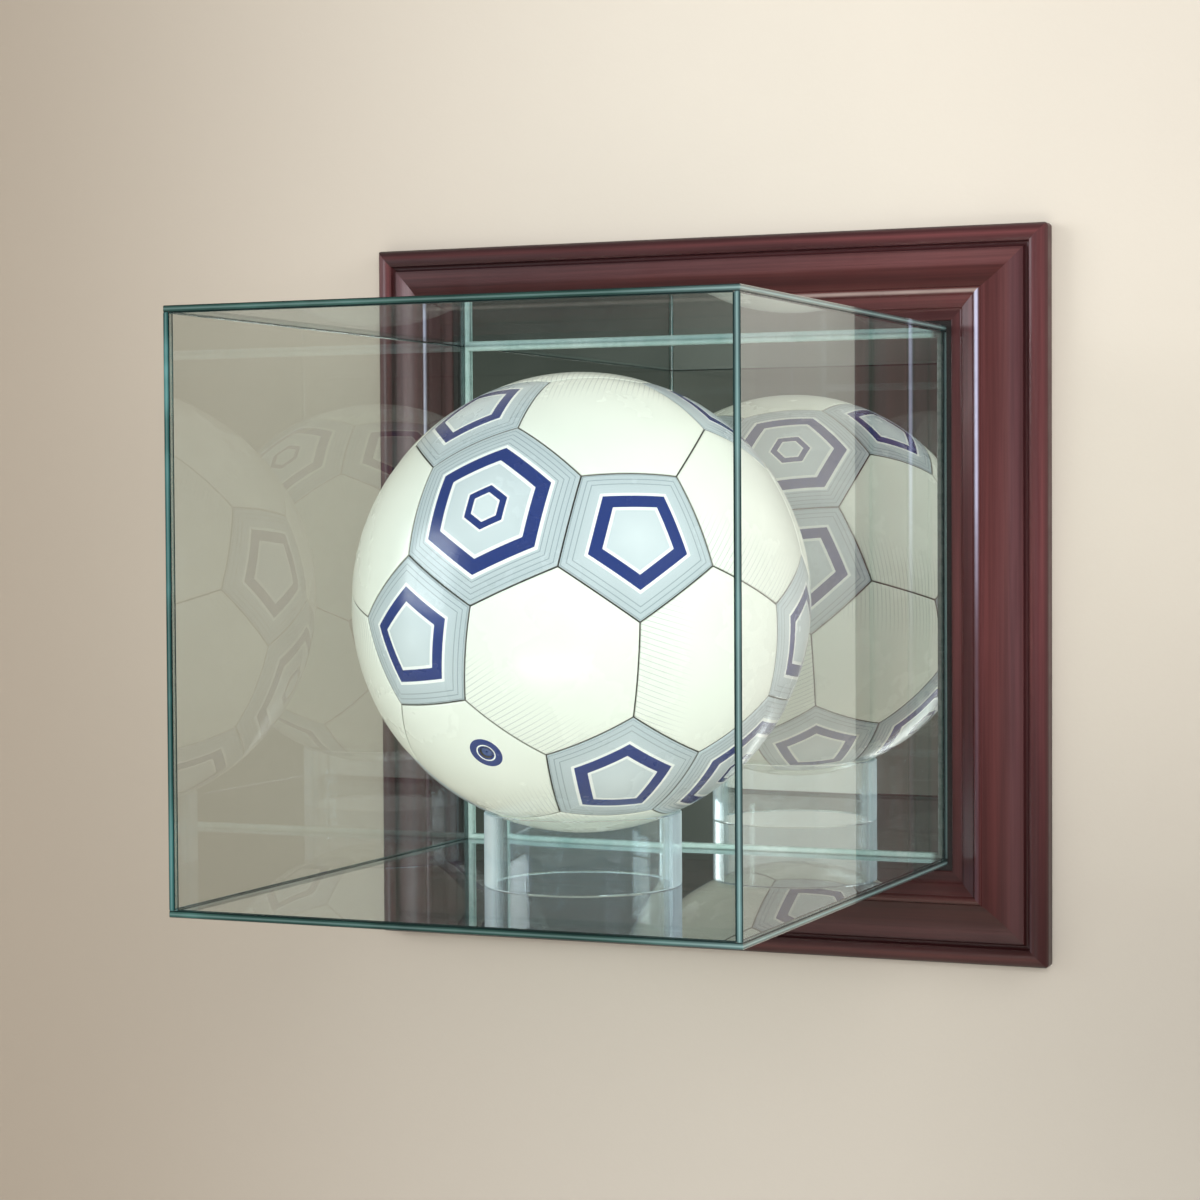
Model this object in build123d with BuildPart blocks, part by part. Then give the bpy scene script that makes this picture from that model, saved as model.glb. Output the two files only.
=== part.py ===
"""Wall display case for a soccer ball: a mitred frame moulding, a five-sided glass box and a mirrored back door.

Millimetres, +Z up. The frame's back lies on the wall at y = 0 and the front glass faces -Y.
The origin is on the wall, midway between the two hanger holes.
Depths are measured forward from the wall, so a depth of 10 is y = -10.
"""
from build123d import *
from math import cos, pi, sin, sqrt
import os

# frame moulding
frame_size = 377.0
hanger_height = 167.0
corner_radius = 2.2
liner_width = 2.6
glass_size = 275.0
mirror_step = 6.0
board_step = 8.0

# moulding section, across from the outer edge and forward from the wall
side_depth = 6.8
bead_width = 9.0
bead_depth = 11.9
groove_width = 3.0
groove_depth = 8.7
cove_start_depth = 11.2
cove_dip = 2.1
crest_depth = 20.2
crest_width = 4.2
slope_width = 6.1
lip_width = 6.5
lip_depth = 15.0
lip_round = 0.8

# glass box
glass_thickness = 3.0
glass_front_depth = 318.0
glass_back_depth = 9.8
edge_polish = 0.35
liner_depth = 14.2
seal_width = 2.6
seal_thickness = 2.4

# back door
door_recess = 3.0
board_thickness = 3.4
mirror_thickness = 3.0
door_gap = 0.2
mirror_gap = 0.3
board_clearance = 0.6

# hinges
hinge_spacing = 190.0
hinge_length = 25.0
leaf_width = 8.4
leaf_thickness = 0.9
knuckle_radius = 1.5
pin_radius = 0.7
axis_depth = 1.6
axis_offset = 0.5
running_clearance = 0.3
leaf_screw_spacing = 14.0
leaf_screw_radius = 1.0
leaf_screw_head = 1.9
leaf_slot_length = 2.2
leaf_slot_width = 0.5
leaf_slot_depth = 0.6
frame_screw_length = 8.0
door_screw_length = 3.9

# magnet catches
catch_spacing = 190.0
magnet_radius = 3.0
magnet_thickness = 3.0
disc_thickness = 0.9

# hangers
hanger_spacing = 200.0
plate_width = 34.0
plate_height = 17.0
plate_thickness = 1.2
entry_radius = 4.25
keyhole_slot = 4.4
keyhole_rise = 6.0
plate_lift = 2.0
pocket_depth = 6.0
pocket_width = 10.0
pocket_height = 15.4
hanger_screw_spacing = 25.0
hanger_screw_radius = 1.5
hanger_screw_head = 2.8
hanger_screw_length = 8.0
hanger_slot_length = 3.0
hanger_slot_width = 0.6
hanger_slot_depth = 0.8

# corner nails
nail_leg = 6.0
nail_steel = 0.7
nail_length = 6.0
nail_sink = 0.2
nail_margin = 1.4

# ring stand
ring_radius = 47.5
ring_wall = 3.5
ring_height = 35.0

# ball
ball_radius = 110.0
ball_depth = 165.0
panel_thickness = 3.0
panel_groove = 0.5
panel_round = 1.9
skin_clearance = 0.2
bladder_wall = 1.2
valve_radius = 3.0
valve_clearance = 0.1
valve_length = 5.6
valve_sink = 0.9

# sizes that follow
half = frame_size / 2
glass_half = glass_size / 2
sight = glass_half + liner_width
rail_width = half - sight
mirror_side = sight + mirror_step
board_side = mirror_side + board_step
board_front = door_recess + board_thickness
mirror_front = board_front + mirror_thickness
board_ledge = board_front + door_gap
mirror_ledge = mirror_front + mirror_gap
mid_z = -hanger_height
case_plane = Plane(origin=(0, 0, mid_z), x_dir=(1, 0, 0), z_dir=(0, -1, 0))
turn_axis = Axis((0, 0, mid_z), (0, -1, 0))
axis_x = -(board_side + axis_offset)
board_half = board_side - board_clearance
mirror_half = mirror_side - mirror_gap
catch_x = (mirror_side + board_side) / 2
knuckle_reach = knuckle_radius + running_clearance
leaf_far = leaf_width + 0.6
frame_leaf_x = axis_x - (knuckle_reach + leaf_far) / 2
frame_screw_x = axis_x - knuckle_reach - leaf_width / 2
door_screw_x = axis_x + knuckle_reach + leaf_width / 2
glass_floor = mid_z - glass_half + glass_thickness
seat_radius = ring_radius - ring_wall / 2
sphere_seat = ball_radius + running_clearance
flat_back = rail_width - mirror_step - board_step
inner_nail = flat_back - nail_leg - nail_margin
crest_inner = rail_width - lip_width - slope_width
crest_outer = crest_inner - crest_width
cove_start = bead_width + groove_width
cove_mid = (cove_start + crest_outer) / 2
cove_mid_depth = (cove_start_depth + crest_depth - 1.2) / 2 - cove_dip
ball_z = glass_floor + ring_height + sqrt(sphere_seat**2 - seat_radius**2)
ball_place = Location((0, -ball_depth, ball_z))


# frame rails
rail_plane = Plane(origin=(0, 0, mid_z + half), x_dir=(0, 0, -1), z_dir=(-1, 0, 0))
with BuildPart() as rail_blank:
    with BuildSketch(rail_plane):
        with BuildLine():
            Polyline(
                (0, side_depth),
                (0, 0),
                (flat_back, 0),
                (flat_back, board_ledge),
                (rail_width - mirror_step, board_ledge),
                (rail_width - mirror_step, mirror_ledge),
                (rail_width, mirror_ledge),
                (rail_width, lip_depth - lip_round),
            )
            ThreePointArc(
                (rail_width, lip_depth - lip_round),
                (rail_width - 0.3 * lip_round, lip_depth - 0.3 * lip_round),
                (rail_width - lip_round, lip_depth),
            )
            Line((rail_width - lip_round, lip_depth), (rail_width - lip_width + 1.9, lip_depth))
            ThreePointArc(
                (rail_width - lip_width + 1.9, lip_depth),
                (rail_width - lip_width + 0.6, lip_depth + 0.5),
                (rail_width - lip_width, lip_depth + 1.6),
            )
            Line((rail_width - lip_width, lip_depth + 1.6), (crest_inner, crest_depth - 0.7))
            ThreePointArc(
                (crest_inner, crest_depth - 0.7),
                (crest_inner - 0.55 * crest_width, crest_depth),
                (crest_outer, crest_depth - 1.2),
            )
            ThreePointArc(
                (crest_outer, crest_depth - 1.2),
                (cove_mid, cove_mid_depth),
                (cove_start, cove_start_depth),
            )
            Line((cove_start, cove_start_depth), (cove_start - 0.3, groove_depth + 1.0))
            ThreePointArc(
                (cove_start - 0.3, groove_depth + 1.0),
                (bead_width + 0.45 * groove_width, groove_depth),
                (bead_width + 0.2, groove_depth + 0.9),
            )
            Line((bead_width + 0.2, groove_depth + 0.9), (bead_width, bead_depth - 0.9))
            ThreePointArc(
                (bead_width, bead_depth - 0.9),
                (0.68 * bead_width, bead_depth),
                (0.35 * bead_width, bead_depth - 1.0),
            )
            ThreePointArc(
                (0.35 * bead_width, bead_depth - 1.0),
                (0.11 * bead_width, bead_depth - 2.5),
                (0, side_depth),
            )
        make_face()
    extrude(amount=half, both=True)
    with BuildSketch(case_plane):
        with BuildLine():
            Polyline((0, 0), (half + 5, half + 5), (-half - 5, half + 5), close=True)
        make_face()
    extrude(amount=crest_depth + 5, mode=Mode.INTERSECT)
    with BuildSketch(case_plane):
        RectangleRounded(frame_size, frame_size, corner_radius)
    extrude(amount=crest_depth + 5, mode=Mode.INTERSECT)

with BuildSketch(case_plane.offset(nail_sink)) as nail_plan:
    with PolarLocations(0, 4):
        for inset in (inner_nail / 2, inner_nail):
            with Locations((half - inset, half - inset)):
                Rectangle(nail_leg, nail_steel, align=(Align.MAX, Align.MAX))
                Rectangle(nail_steel, nail_leg, align=(Align.MAX, Align.MAX))

with BuildPart() as corner_nails:
    extrude(nail_plan.sketch, amount=nail_length)

# hangers
with BuildSketch(case_plane) as keyhole_plan:
    with Locations((-hanger_spacing / 2, hanger_height), (hanger_spacing / 2, hanger_height)):
        Circle(entry_radius)
        with Locations((0, keyhole_rise / 2)):
            Rectangle(keyhole_slot, keyhole_rise)
        with Locations((0, keyhole_rise)):
            Circle(keyhole_slot / 2)

with BuildPart() as hanger_screws:
    with Locations(case_plane):
        with Locations((0, hanger_height + plate_lift)):
            with GridLocations(hanger_spacing, 1, 2, 1):
                with GridLocations(hanger_screw_spacing, 1, 2, 1):
                    with Locations((0, 0, 0.1)):
                        Cone(
                            hanger_screw_head,
                            hanger_screw_radius,
                            hanger_screw_head - hanger_screw_radius,
                            align=(Align.CENTER, Align.CENTER, Align.MIN),
                        )
                        Cylinder(
                            hanger_screw_radius,
                            hanger_screw_length,
                            align=(Align.CENTER, Align.CENTER, Align.MIN),
                        )
with BuildPart() as hanger_screw_space:
    add(hanger_screws.part)
with BuildPart(mode=Mode.PRIVATE) as hanger_crosses:
    with Locations(case_plane):
        with Locations((0, hanger_height + plate_lift)):
            with GridLocations(hanger_spacing, 1, 2, 1):
                with GridLocations(hanger_screw_spacing, 1, 2, 1):
                    Box(hanger_slot_length, hanger_slot_width, 2 * hanger_slot_depth)
                    Box(hanger_slot_width, hanger_slot_length, 2 * hanger_slot_depth)
with hanger_screws:
    add(hanger_crosses.part, mode=Mode.SUBTRACT)

with BuildPart() as hanger_plates:
    with BuildSketch(case_plane):
        with Locations((0, hanger_height + plate_lift)):
            with GridLocations(hanger_spacing, 1, 2, 1):
                RectangleRounded(plate_width, plate_height, 3.0)
    extrude(amount=plate_thickness)
    extrude(keyhole_plan.sketch, amount=plate_thickness, mode=Mode.SUBTRACT)
    add(hanger_screw_space.part, mode=Mode.SUBTRACT)

with BuildPart() as frame_top_rail:
    add(rail_blank.part)
    extrude(nail_plan.sketch, amount=nail_length, mode=Mode.SUBTRACT)
    with BuildSketch(case_plane):
        with Locations((0, hanger_height + plate_lift)):
            with GridLocations(hanger_spacing, 1, 2, 1):
                RectangleRounded(plate_width, plate_height, 3.0)
    extrude(amount=plate_thickness, mode=Mode.SUBTRACT)
    with BuildSketch(case_plane):
        with Locations((0, hanger_height + pocket_height / 2 - 5.0)):
            with GridLocations(hanger_spacing, 1, 2, 1):
                RectangleRounded(pocket_width, pocket_height, pocket_width / 2 - 0.1)
    extrude(amount=pocket_depth, mode=Mode.SUBTRACT)
    add(hanger_screw_space.part, mode=Mode.SUBTRACT)

with BuildPart() as frame_bottom_rail:
    add(rail_blank.part.rotate(turn_axis, 180))
    extrude(nail_plan.sketch, amount=nail_length, mode=Mode.SUBTRACT)


# hinges: one leaf let into the left stile's back, the other on the back of the door
hinge_plane = Plane(origin=(0, -axis_depth, mid_z), x_dir=(1, 0, 0), z_dir=(0, 0, 1))
knuckle_length = hinge_length / 3
with BuildPart() as hinge_pins:
    with Locations(hinge_plane):
        with Locations((axis_x, 0, hinge_spacing / 2), (axis_x, 0, -hinge_spacing / 2)):
            Cylinder(pin_radius, hinge_length)

with BuildPart() as frame_screw_space:
    with Locations(case_plane):
        with Locations((frame_screw_x, 0)):
            with GridLocations(1, hinge_spacing, 1, 2):
                with GridLocations(1, leaf_screw_spacing, 1, 2):
                    with Locations((0, 0, 0.1)):
                        Cone(
                            leaf_screw_head,
                            leaf_screw_radius,
                            leaf_screw_head - leaf_screw_radius,
                            align=(Align.CENTER, Align.CENTER, Align.MIN),
                        )
                        Cylinder(
                            leaf_screw_radius,
                            frame_screw_length,
                            align=(Align.CENTER, Align.CENTER, Align.MIN),
                        )
with BuildPart() as hinge_frame_screws:
    add(frame_screw_space.part)
    with Locations(case_plane):
        with Locations((frame_screw_x, 0)):
            with GridLocations(1, hinge_spacing, 1, 2):
                with GridLocations(1, leaf_screw_spacing, 1, 2):
                    Box(leaf_slot_length, leaf_slot_width, 2 * leaf_slot_depth, mode=Mode.SUBTRACT)
                    Box(leaf_slot_width, leaf_slot_length, 2 * leaf_slot_depth, mode=Mode.SUBTRACT)

with BuildPart() as door_screw_space:
    with Locations(case_plane.offset(door_recess - leaf_thickness)):
        with Locations((door_screw_x, 0)):
            with GridLocations(1, hinge_spacing, 1, 2):
                with GridLocations(1, leaf_screw_spacing, 1, 2):
                    Cone(
                        leaf_screw_head,
                        leaf_screw_radius,
                        leaf_screw_head - leaf_screw_radius,
                        align=(Align.CENTER, Align.CENTER, Align.MIN),
                    )
                    Cylinder(
                        leaf_screw_radius,
                        door_screw_length,
                        align=(Align.CENTER, Align.CENTER, Align.MIN),
                    )
with BuildPart() as hinge_door_screws:
    add(door_screw_space.part)
    with Locations(case_plane.offset(door_recess - leaf_thickness)):
        with Locations((door_screw_x, 0)):
            with GridLocations(1, hinge_spacing, 1, 2):
                with GridLocations(1, leaf_screw_spacing, 1, 2):
                    Box(leaf_slot_length, leaf_slot_width, 2 * leaf_slot_depth, mode=Mode.SUBTRACT)
                    Box(leaf_slot_width, leaf_slot_length, 2 * leaf_slot_depth, mode=Mode.SUBTRACT)

with BuildPart() as hinge_frame_leaves:
    with Locations(hinge_plane):
        with Locations((axis_x, 0, hinge_spacing / 2), (axis_x, 0, -hinge_spacing / 2)):
            Cylinder(knuckle_radius, hinge_length)
    with BuildSketch(case_plane.offset(0.1)):
        with Locations((axis_x, 0)):
            with GridLocations(1, hinge_spacing, 1, 2):
                Rectangle(
                    knuckle_reach + leaf_width,
                    hinge_length,
                    align=(Align.MAX, Align.CENTER),
                )
    extrude(amount=leaf_thickness)
    with Locations(hinge_plane):
        with Locations((axis_x, 0, hinge_spacing / 2), (axis_x, 0, -hinge_spacing / 2)):
            Box(
                2 * knuckle_reach,
                2 * knuckle_reach,
                knuckle_length + running_clearance,
                mode=Mode.SUBTRACT,
            )
            Cylinder(pin_radius, hinge_length, mode=Mode.SUBTRACT)
    add(frame_screw_space.part, mode=Mode.SUBTRACT)

with BuildPart() as hinge_door_leaves:
    with Locations(hinge_plane):
        with Locations((axis_x, 0, hinge_spacing / 2), (axis_x, 0, -hinge_spacing / 2)):
            Cylinder(knuckle_radius, knuckle_length - running_clearance)
    with BuildSketch(case_plane.offset(door_recess - leaf_thickness)):
        with Locations((axis_x, 0)):
            with GridLocations(1, hinge_spacing, 1, 2):
                Rectangle(
                    knuckle_reach + leaf_width,
                    knuckle_length - running_clearance,
                    align=(Align.MIN, Align.CENTER),
                )
                with Locations((knuckle_reach, 0)):
                    Rectangle(leaf_width, hinge_length, align=(Align.MIN, Align.CENTER))
    extrude(amount=leaf_thickness)
    with Locations(hinge_plane):
        with Locations((axis_x, 0, hinge_spacing / 2), (axis_x, 0, -hinge_spacing / 2)):
            Cylinder(pin_radius + running_clearance, hinge_length, mode=Mode.SUBTRACT)
    add(door_screw_space.part, mode=Mode.SUBTRACT)

with BuildPart() as frame_left_stile:
    add(rail_blank.part.rotate(turn_axis, 90))
    extrude(nail_plan.sketch, amount=nail_length, mode=Mode.SUBTRACT)
    with BuildSketch(case_plane):
        with Locations((-board_side, 0)):
            with GridLocations(1, hinge_spacing, 1, 2):
                Rectangle(
                    knuckle_reach + axis_offset,
                    hinge_length + 0.6,
                    align=(Align.MAX, Align.CENTER),
                )
    extrude(amount=axis_depth + knuckle_reach, mode=Mode.SUBTRACT)
    with BuildSketch(case_plane):
        with Locations((axis_x, 0)):
            with GridLocations(1, hinge_spacing, 1, 2):
                Rectangle(
                    knuckle_reach + leaf_width + 0.2,
                    hinge_length + 0.6,
                    align=(Align.MAX, Align.CENTER),
                )
    extrude(amount=leaf_thickness + 0.1, mode=Mode.SUBTRACT)
    add(frame_screw_space.part, mode=Mode.SUBTRACT)

with BuildSketch(case_plane.offset(board_ledge + 0.1)) as magnet_plan:
    with Locations((catch_x, 0)):
        with GridLocations(1, catch_spacing, 1, 2):
            Circle(magnet_radius)
with BuildPart() as catch_magnets:
    extrude(magnet_plan.sketch, amount=magnet_thickness)
    chamfer(catch_magnets.edges(), 0.2)
with BuildPart() as frame_right_stile:
    add(rail_blank.part.rotate(turn_axis, 270))
    extrude(nail_plan.sketch, amount=nail_length, mode=Mode.SUBTRACT)
    extrude(magnet_plan.sketch, amount=magnet_thickness, mode=Mode.SUBTRACT)
    extrude(magnet_plan.sketch, amount=-1, mode=Mode.SUBTRACT)


# door: a board that closes on the second ledge, with the mirror bonded to its front
with BuildSketch(case_plane.offset(board_front)) as disc_plan:
    with Locations((catch_x, 0)):
        with GridLocations(1, catch_spacing, 1, 2):
            Circle(magnet_radius)
with BuildPart() as catch_discs:
    extrude(disc_plan.sketch, amount=-disc_thickness)
with BuildPart() as backing_board:
    with BuildSketch(case_plane.offset(door_recess)):
        RectangleRounded(2 * board_half, 2 * board_half, 1.0)
    extrude(amount=board_thickness)
    extrude(disc_plan.sketch, amount=-disc_thickness, mode=Mode.SUBTRACT)
    add(door_screw_space.part, mode=Mode.SUBTRACT)
with BuildPart() as mirror:
    with BuildSketch(case_plane.offset(board_front)):
        Rectangle(2 * mirror_half, 2 * mirror_half)
    extrude(amount=mirror_thickness)
    chamfer(mirror.edges().filter_by(Axis.Y), edge_polish)


# glass box
box_length = glass_front_depth - glass_back_depth
wall_height = glass_size - 2 * glass_thickness
with BuildPart() as top_glass:
    with BuildSketch(case_plane.offset(glass_back_depth)):
        with Locations((0, glass_half - glass_thickness / 2)):
            Rectangle(glass_size, glass_thickness)
    extrude(amount=box_length)
    chamfer(top_glass.edges(), edge_polish)
with BuildPart() as bottom_glass:
    add(top_glass.part.rotate(turn_axis, 180))
with BuildPart() as left_glass:
    with BuildSketch(case_plane.offset(glass_back_depth)):
        with Locations((-glass_half + glass_thickness / 2, 0)):
            Rectangle(glass_thickness, wall_height)
    extrude(amount=box_length)
    chamfer(left_glass.edges(), edge_polish)
with BuildPart() as right_glass:
    add(left_glass.part.rotate(turn_axis, 180))
with BuildPart() as front_glass:
    with BuildSketch(case_plane.offset(glass_front_depth - glass_thickness)):
        Rectangle(wall_height, wall_height)
    extrude(amount=glass_thickness)
    chamfer(front_glass.edges(), edge_polish)
with BuildPart() as glass_liner:
    with BuildSketch(case_plane.offset(glass_back_depth)):
        Rectangle(2 * sight, 2 * sight)
        Rectangle(glass_size, glass_size, mode=Mode.SUBTRACT)
    extrude(amount=liner_depth - glass_back_depth)


with BuildPart() as dust_seal:
    with BuildSketch(case_plane.offset(glass_back_depth)):
        Rectangle(wall_height, wall_height)
        Rectangle(wall_height - 2 * seal_width, wall_height - 2 * seal_width, mode=Mode.SUBTRACT)
    extrude(amount=seal_thickness)
    chamfer(dust_seal.faces().sort_by(Axis.Y)[0].edges(), 0.6)


# ring stand
with BuildPart() as ring_stand:
    with Locations((0, -ball_depth, glass_floor)):
        Cylinder(ring_radius, ring_height, align=(Align.CENTER, Align.CENTER, Align.MIN))
    chamfer(ring_stand.edges().filter_by(GeomType.CIRCLE), 0.5)
    with Locations((0, -ball_depth, glass_floor)):
        Cylinder(
            ring_radius - ring_wall,
            ring_height,
            align=(Align.CENTER, Align.CENTER, Align.MIN),
            mode=Mode.SUBTRACT,
        )
    with Locations(ball_place):
        Sphere(sphere_seat, mode=Mode.SUBTRACT)


# ball: twelve pentagon and twenty hexagon panels bonded over an inflated bladder
golden = (1 + sqrt(5)) / 2
ball_x = Vector(0.9048, 0.1486, 0.3991)
ball_y = Vector(-0.1195, 0.9881, -0.0971)
ball_frame = Plane(origin=(0, -ball_depth, ball_z), x_dir=ball_x, z_dir=ball_x.cross(ball_y))
edge_share = 4 / sqrt(58 + 18 * sqrt(5))
panel_reach = {5: edge_share / (2 * sin(pi / 5)), 6: edge_share}
panel_inner = ball_radius - panel_thickness

poles = []
for a in (1, -1):
    for b in (golden, -golden):
        poles += [Vector(0, a, b), Vector(a, b, 0), Vector(b, 0, a)]
pentagon_places = []
hexagon_places = []
for i, p in enumerate(poles):
    near = [q for q in poles if 0.1 < (q - p).length < 2.1]
    turned = Plane(origin=(0, 0, 0), x_dir=(near[0] - p).cross(p).cross(p) * -1, z_dir=p)
    pentagon_places.append(ball_frame.location * turned.location)
    for j in range(i + 1, len(poles)):
        for k in range(j + 1, len(poles)):
            q, r = poles[j], poles[k]
            if max((p - q).length, (q - r).length, (r - p).length) < 2.1:
                turned = Plane(origin=(0, 0, 0), x_dir=p - r, z_dir=p + q + r)
                hexagon_places.append(ball_frame.location * turned.location)

with BuildPart() as pentagon_panel:
    Sphere(ball_radius)
    Sphere(panel_inner, mode=Mode.SUBTRACT)
    for distance in (0.8 * ball_radius, 1.1 * ball_radius):
        spread = distance / sqrt(1 - panel_reach[5] ** 2) * panel_reach[5]
        with BuildSketch(Plane.XY.offset(distance)):
            RegularPolygon(spread * cos(pi / 5) - panel_groove / 2, 5, major_radius=False)
    loft(mode=Mode.INTERSECT)
    fillet(
        [e for e in pentagon_panel.edges() if e.position_at(0.5).length > ball_radius - 0.01],
        panel_round,
    )
with BuildPart() as hexagon_panel:
    Sphere(ball_radius)
    Sphere(panel_inner, mode=Mode.SUBTRACT)
    for distance in (0.8 * ball_radius, 1.1 * ball_radius):
        spread = distance / sqrt(1 - panel_reach[6] ** 2) * panel_reach[6]
        with BuildSketch(Plane.XY.offset(distance)):
            RegularPolygon(spread * cos(pi / 6) - panel_groove / 2, 6, major_radius=False)
    loft(mode=Mode.INTERSECT)
    fillet(
        [e for e in hexagon_panel.edges() if e.position_at(0.5).length > ball_radius - 0.01],
        panel_round,
    )

valve_plane = Plane(origin=(0, -ball_depth, ball_z), z_dir=(-0.091, -0.796, -0.599))
valve_outer = ball_radius - valve_sink
with BuildPart() as ball_valve:
    with Locations(valve_plane.offset(valve_outer)):
        Cylinder(valve_radius, valve_length, align=(Align.CENTER, Align.CENTER, Align.MAX))
        chamfer(ball_valve.edges().filter_by(GeomType.CIRCLE), 0.4)
    with Locations(valve_plane.offset(valve_outer)):
        Cylinder(0.6, 3.0, align=(Align.CENTER, Align.CENTER, Align.MAX), mode=Mode.SUBTRACT)
with BuildPart() as valve_space:
    with Locations(valve_plane.offset(valve_outer - valve_length)):
        Cylinder(
            valve_radius + valve_clearance,
            2 * valve_length,
            align=(Align.CENTER, Align.CENTER, Align.MIN),
        )
with BuildPart() as ball_pentagon_panels:
    with Locations(*pentagon_places):
        add(pentagon_panel.part)
with BuildPart() as ball_hexagon_panels:
    with Locations(*hexagon_places):
        add(hexagon_panel.part)
    add(valve_space.part, mode=Mode.SUBTRACT)
with BuildPart() as ball_bladder:
    with Locations(ball_place):
        Sphere(panel_inner - skin_clearance)
        Sphere(panel_inner - skin_clearance - bladder_wall, mode=Mode.SUBTRACT)
    with Locations(valve_plane.offset(valve_outer - valve_length - bladder_wall)):
        Cylinder(
            valve_radius + 2,
            panel_inner - 1 - valve_outer + valve_length + bladder_wall,
            align=(Align.CENTER, Align.CENTER, Align.MIN),
        )
    add(valve_space.part, mode=Mode.SUBTRACT)


pieces = {
    "frame_top_rail": frame_top_rail,
    "frame_bottom_rail": frame_bottom_rail,
    "frame_left_stile": frame_left_stile,
    "frame_right_stile": frame_right_stile,
    "corner_nails": corner_nails,
    "hanger_plates": hanger_plates,
    "hanger_screws": hanger_screws,
    "hinge_frame_leaves": hinge_frame_leaves,
    "hinge_frame_screws": hinge_frame_screws,
    "hinge_pins": hinge_pins,
    "catch_magnets": catch_magnets,
    "hinge_door_leaves": hinge_door_leaves,
    "hinge_door_screws": hinge_door_screws,
    "catch_discs": catch_discs,
    "backing_board": backing_board,
    "mirror": mirror,
    "top_glass": top_glass,
    "bottom_glass": bottom_glass,
    "left_glass": left_glass,
    "right_glass": right_glass,
    "front_glass": front_glass,
    "glass_liner": glass_liner,
    "dust_seal": dust_seal,
    "ring_stand": ring_stand,
    "ball_pentagon_panels": ball_pentagon_panels,
    "ball_hexagon_panels": ball_hexagon_panels,
    "ball_bladder": ball_bladder,
    "ball_valve": ball_valve,
}
os.makedirs("parts", exist_ok=True)
for name, piece in pieces.items():
    piece.part.label = name
    export_step(piece.part, f"parts/{name}.step")
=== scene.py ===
import math

import bmesh
import bpy
from mathutils import Matrix, Vector


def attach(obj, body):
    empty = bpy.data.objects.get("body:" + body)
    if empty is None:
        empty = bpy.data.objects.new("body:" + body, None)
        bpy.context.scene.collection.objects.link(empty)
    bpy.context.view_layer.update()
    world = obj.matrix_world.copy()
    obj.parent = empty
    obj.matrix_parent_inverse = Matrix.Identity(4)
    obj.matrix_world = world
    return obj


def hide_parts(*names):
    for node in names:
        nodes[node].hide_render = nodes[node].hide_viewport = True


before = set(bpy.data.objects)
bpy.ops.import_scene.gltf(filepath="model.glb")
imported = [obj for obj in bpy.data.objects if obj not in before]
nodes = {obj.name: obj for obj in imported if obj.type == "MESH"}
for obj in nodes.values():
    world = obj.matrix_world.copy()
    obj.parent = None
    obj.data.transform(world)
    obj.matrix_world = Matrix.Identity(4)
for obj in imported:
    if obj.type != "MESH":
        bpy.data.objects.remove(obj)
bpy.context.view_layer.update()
caseMiddle = -0.167  # height of the frame's centre, below the hangers

print("camera")
camera = {
    "place": (0.54496, -1.43170, -0.12268),
    "turn": (88.2333, 0.3285, 22.9018),
    "lens": 86.336,
}
cameraData = bpy.data.cameras.new("camera")
cameraData.lens = camera["lens"]
cameraData.sensor_width = 36
cameraData.clip_start = 0.01
cameraObject = bpy.data.objects.new("camera", cameraData)
cameraObject.location = camera["place"]
cameraObject.rotation_euler = [math.radians(a) for a in camera["turn"]]
bpy.context.scene.collection.objects.link(cameraObject)
bpy.context.scene.camera = cameraObject
bpy.context.scene.view_settings.view_transform = "Standard"
bpy.context.scene.cycles.transparent_max_bounces = 32


# shader helpers: a value that is a socket gets linked, anything else is set
def put(tree, kind, inputs=None, **settings):
    node = tree.nodes.new(kind)
    for name, value in settings.items():
        setattr(node, name, value)
    for name, value in (inputs or {}).items():
        if isinstance(value, bpy.types.NodeSocket):
            tree.links.new(value, node.inputs[name])
        else:
            node.inputs[name].default_value = value
    return node


def calc(tree, operation, *values):
    return put(tree, "ShaderNodeMath", dict(enumerate(values)), operation=operation).outputs[0]


def tone(red, green, blue):
    parts = []
    for part in (red, green, blue):
        part = part / 255
        parts.append(part / 12.92 if part <= 0.04045 else ((part + 0.055) / 1.055) ** 2.4)
    return (*parts, 1)


def blendColour(tree, share, first, second, mode="MIX"):
    node = put(tree, "ShaderNodeMix", {0: share, 6: first, 7: second}, data_type="RGBA", blend_type=mode)
    return node.outputs[2]


def ramp(tree, value, stops):
    node = put(tree, "ShaderNodeValToRGB", {"Fac": value})
    while len(node.color_ramp.elements) < len(stops):
        node.color_ramp.elements.new(0.5)
    for element, (place, colour) in zip(node.color_ramp.elements, stops):
        element.position = place
        element.color = colour if len(colour) == 4 else (*colour, 1)
    return node.outputs["Color"]


def spread(tree, value, low, high, toLow=0.0, toHigh=1.0, smooth=False):
    kind = "SMOOTHSTEP" if smooth else "LINEAR"
    node = put(
        tree,
        "ShaderNodeMapRange",
        {"Value": value, "From Min": low, "From Max": high, "To Min": toLow, "To Max": toHigh},
        interpolation_type=kind,
    )
    return node.outputs[0]


def objectPlace(tree, scale=(1, 1, 1)):
    place = put(tree, "ShaderNodeTexCoord").outputs["Object"]
    return put(tree, "ShaderNodeMapping", {"Vector": place, "Scale": scale}).outputs[0]


def noise(tree, place, scale, detail=3.0, roughness=0.5, distortion=0.0):
    inputs = {"Vector": place, "Scale": scale, "Detail": detail, "Roughness": roughness}
    inputs["Distortion"] = distortion
    return put(tree, "ShaderNodeTexNoise", inputs).outputs[0]


def bump(tree, height, strength, distance):
    inputs = {"Height": height, "Strength": strength, "Distance": distance}
    return put(tree, "ShaderNodeBump", inputs).outputs[0]


def startMaterial(name):
    material = bpy.data.materials.new(name)
    material.use_nodes = True
    material.node_tree.nodes.clear()
    return material, material.node_tree


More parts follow.
